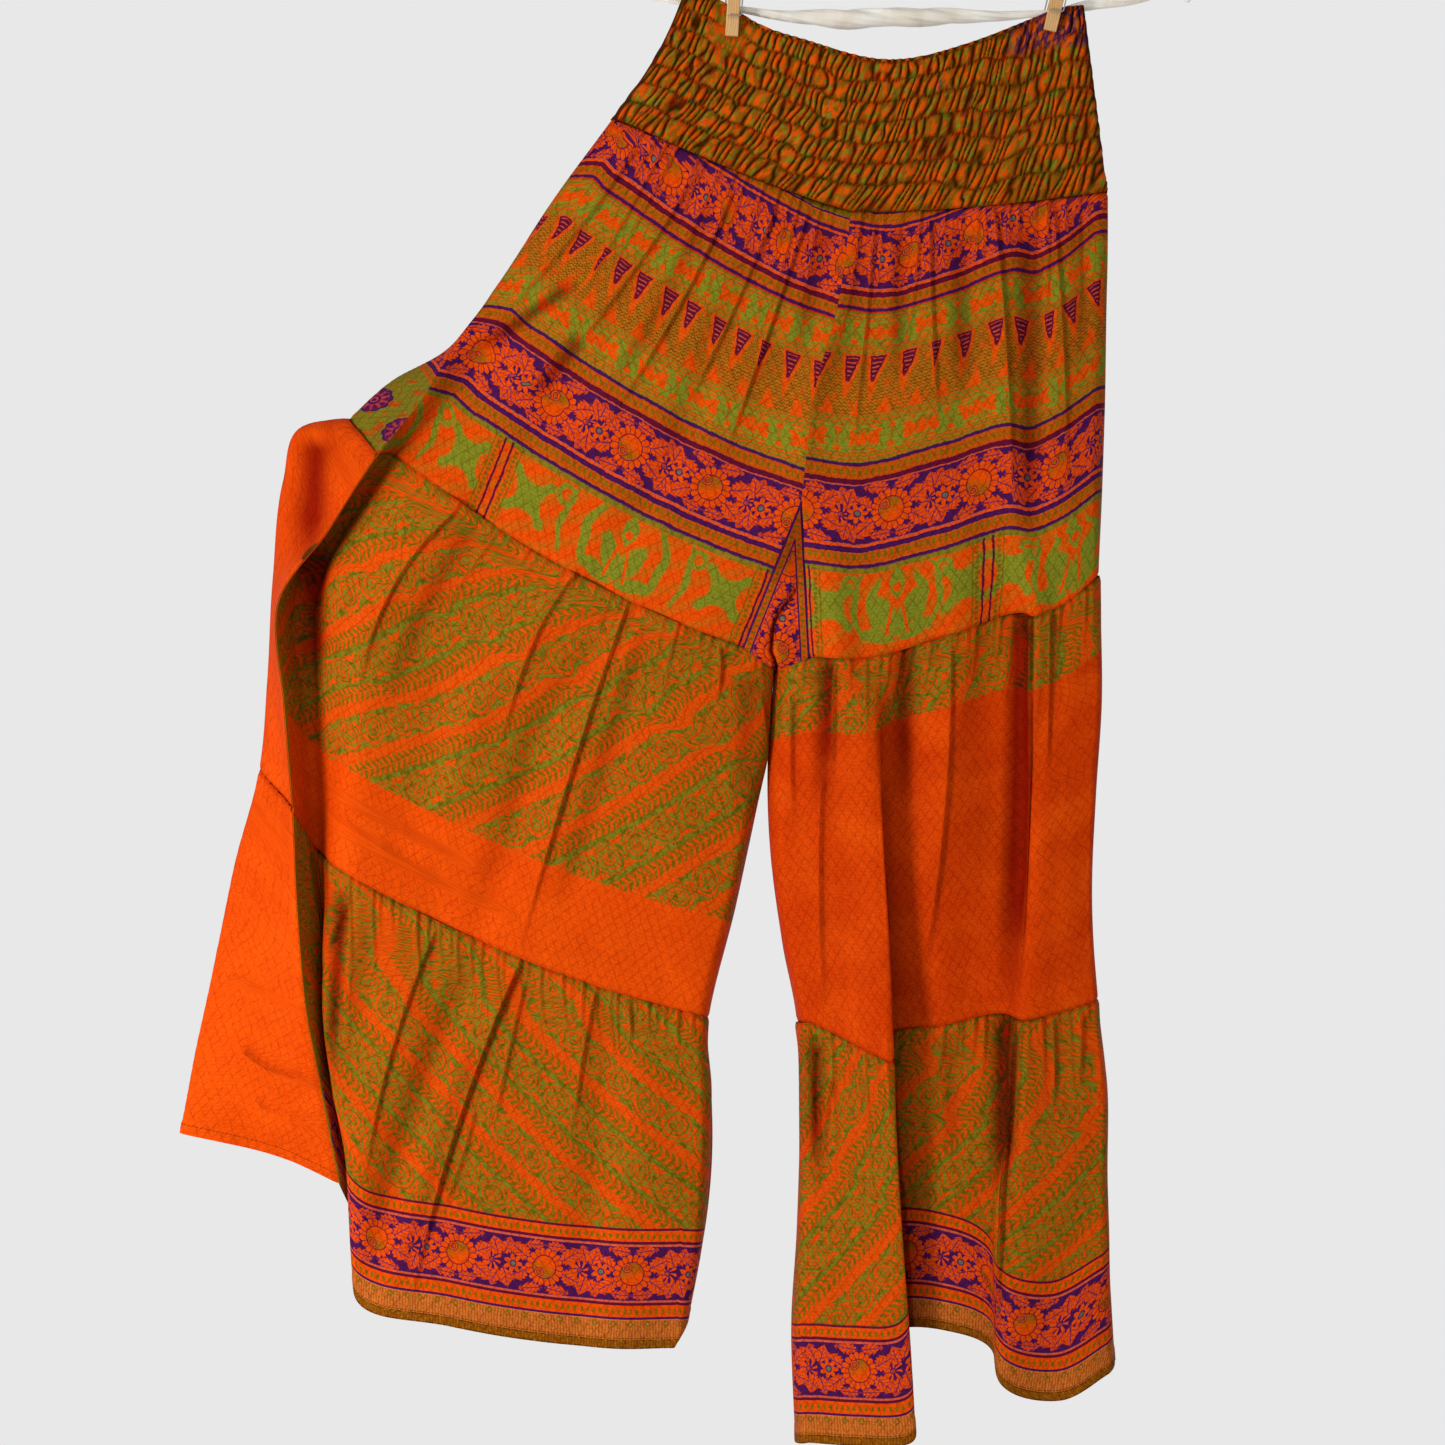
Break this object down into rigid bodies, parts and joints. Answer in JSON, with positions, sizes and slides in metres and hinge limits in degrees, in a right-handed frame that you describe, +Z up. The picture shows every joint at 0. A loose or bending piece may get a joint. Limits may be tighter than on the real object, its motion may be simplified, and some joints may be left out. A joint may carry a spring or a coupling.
{
  "type": "tiered palazzo pants pegged to a line",
  "caption": "Tiered palazzo pants with a shirred elastic waistband and a crotch gusset, hung by wooden clothes pegs from a twisted cloth line, one leg swept aside.",
  "frame": {"origin": "middle of the cloth line between the two pegs, where the line holds the garment", "axes": "+Z up, front of the garment towards -Y, +X along the line to the viewer's right"},
  "size_m": [0.7749, 0.0741, 1.113],
  "materials": {
    "printed_cloth": "soft art silk with a slight sheen, printed with purple, green and orange border bands",
    "plain_cloth": "soft art silk with a slight sheen, orange with a fine dark crosshatch",
    "border_cloth": "soft art silk with a slight sheen, purple floral border",
    "cotton_line": "matt twisted cotton",
    "peg_wood": "bare pale wood",
    "peg_steel": "dull wire"
  },
  "bodies": {
    "root": {"gusset": "border_cloth", "hip_left_back": "printed_cloth", "hip_left_front": "printed_cloth", "hip_right_back": "printed_cloth", "hip_right_front": "printed_cloth", "line": "cotton_line", "line_knot_left": "cotton_line", "line_knot_right": "cotton_line", "peg_left_back": "peg_wood", "peg_left_front": "peg_wood", "peg_left_spring": "peg_steel", "peg_right_back": "peg_wood", "peg_right_front": "peg_wood", "peg_right_spring": "peg_steel", "tier2_left_back": "plain_cloth", "tier2_left_front": "printed_cloth", "tier2_right_back": "plain_cloth", "tier2_right_front": "plain_cloth", "tier3_left_back": "plain_cloth", "tier3_left_front": "printed_cloth", "tier3_right_back": "plain_cloth", "tier3_right_front": "printed_cloth", "waistband_back": "printed_cloth", "waistband_front": "printed_cloth"}
  },
  "joints": []
}
